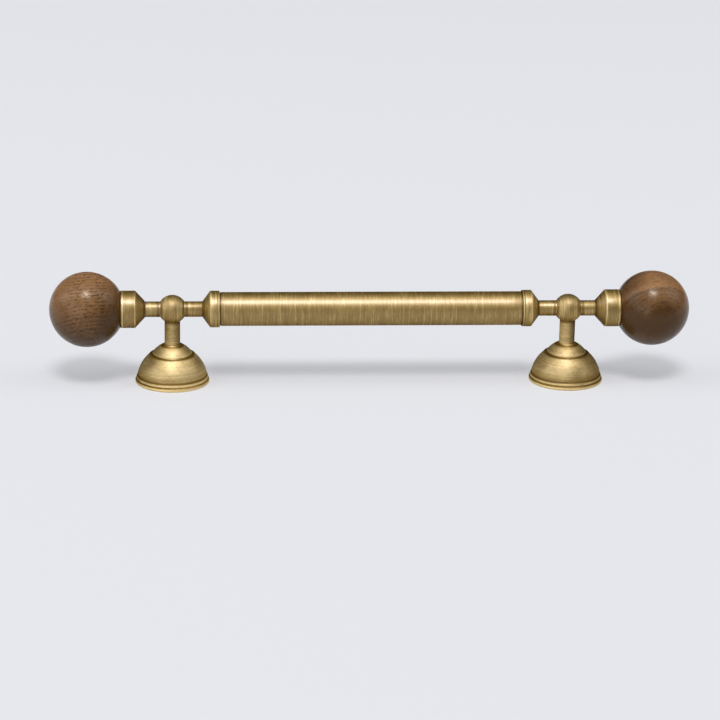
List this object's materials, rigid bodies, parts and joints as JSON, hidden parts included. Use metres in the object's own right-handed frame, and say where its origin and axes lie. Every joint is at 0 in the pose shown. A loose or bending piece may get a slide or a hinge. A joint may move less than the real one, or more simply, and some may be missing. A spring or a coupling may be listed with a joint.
{
  "type": "bar pull",
  "caption": "Cabinet bar pull in aged brass: a tubular grip held on ball joints over stepped dome feet, with a turned wooden ball at each end.",
  "frame": {"origin": "midway between the two feet, on the plane of the drawer front", "axes": "+X along the grip, +Z away from the drawer front, +Y across the grip"},
  "size_m": [0.2068, 0.0242, 0.0364],
  "materials": {
    "brushed_brass": "brushed round, aged",
    "turned_brass": "turned, aged and rubbed back",
    "walnut": "satin lacquer",
    "steel": "zinc plated"
  },
  "bodies": {
    "root": {"grip_tube": "brushed_brass", "tie_rod": "steel", "left_ferrule": "turned_brass", "left_cross_rod": "turned_brass", "left_ball_joint": "turned_brass", "left_post": "turned_brass", "left_collar": "turned_brass", "left_foot": "turned_brass", "left_cup": "turned_brass", "left_ball_stud": "steel", "left_insert": "turned_brass", "left_wood_ball": "walnut", "right_ferrule": "turned_brass", "right_cross_rod": "turned_brass", "right_ball_joint": "turned_brass", "right_post": "turned_brass", "right_collar": "turned_brass", "right_foot": "turned_brass", "right_cup": "turned_brass", "right_ball_stud": "steel", "right_insert": "turned_brass", "right_wood_ball": "walnut"}
  },
  "joints": []
}
